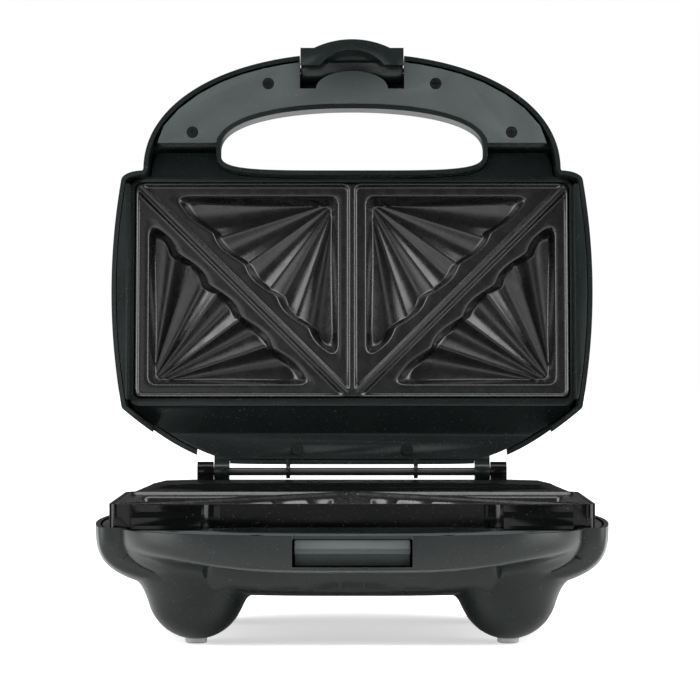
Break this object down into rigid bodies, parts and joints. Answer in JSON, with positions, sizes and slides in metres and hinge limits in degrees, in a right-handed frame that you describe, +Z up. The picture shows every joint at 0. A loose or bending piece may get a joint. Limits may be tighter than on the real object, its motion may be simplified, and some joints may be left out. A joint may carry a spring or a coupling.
{
  "type": "sandwich toaster",
  "caption": "Electric sandwich toaster standing open: two hinged shells with non-stick plates, triangular pockets, an arched carry handle in two halves and a latch.",
  "frame": {"origin": "on the floor under the middle of the open toaster's box", "axes": "+X to the user's right, -Y towards the user and the handle, +Z up"},
  "size_m": [0.24, 0.2399, 0.2888],
  "materials": {
    "shell_plastic": "satin dark grey-green moulding",
    "cover_plastic": "satin grey-green moulding, lighter than the shell",
    "frame_plastic": "glossy black moulding",
    "plate_coating": "glossy dark grey non-stick coating on cast aluminium",
    "heater_steel": "dull sheathed tube",
    "sheet_steel": "plain sheet",
    "screw_steel": "zinc plated",
    "pin_steel": "drawn rod",
    "ceramic_body": "unglazed",
    "white_plastic": "moulded",
    "lead_sleeve": "braided glass sleeve",
    "gland_rubber": "moulded",
    "pad_rubber": "translucent silicone",
    "red_lens": "clear tinted",
    "green_lens": "clear tinted"
  },
  "bodies": {
    "base": {"base_shell": "shell_plastic", "base_frame": "frame_plastic", "lower_plate": "plate_coating", "lower_heater": "heater_steel", "lower_reflector": "sheet_steel", "lower_plate_screws": "screw_steel", "thermostat": "ceramic_body", "terminal_block": "white_plastic", "earth_tag": "sheet_steel", "base_leads": "lead_sleeve", "cord_gland": "gland_rubber", "base_frame_screws": "screw_steel", "base_handle_cover": "cover_plastic", "base_cover_screws": "screw_steel", "latch_keeper": "cover_plastic", "hinge_pin": "pin_steel", "foot_pad_front_left": "pad_rubber", "foot_pad_front_right": "pad_rubber", "foot_pad_rear_left": "pad_rubber", "foot_pad_rear_right": "pad_rubber"},
    "lid": {"lid_shell": "shell_plastic", "lid_frame": "shell_plastic", "upper_plate": "plate_coating", "upper_heater": "heater_steel", "upper_reflector": "sheet_steel", "upper_plate_screws": "screw_steel", "thermal_fuse": "ceramic_body", "lid_leads": "lead_sleeve", "lid_frame_screws": "screw_steel", "handle_cover": "cover_plastic", "handle_cover_screws": "screw_steel", "power_lamp_lens": "red_lens", "ready_lamp_lens": "green_lens", "lamp_holder": "white_plastic", "latch_pin": "pin_steel", "latch_spring": "pin_steel"},
    "latch": {"latch": "shell_plastic"}
  },
  "joints": [
    {"name": "lid_hinge", "type": "hinge", "parent": "base", "child": "lid", "pos_m": [0, 0.08867, 0.0728], "axis": [1, 0, 0], "range_deg": [0, 96]},
    {"name": "latch_swing", "type": "hinge", "parent": "lid", "child": "latch", "pos_m": [0, 0.10208, 0.27501], "axis": [-1, 0, 0], "range_deg": [0, 18], "stiffness_Nm_per_rad": 0.03, "springref_deg": -14.9}
  ]
}
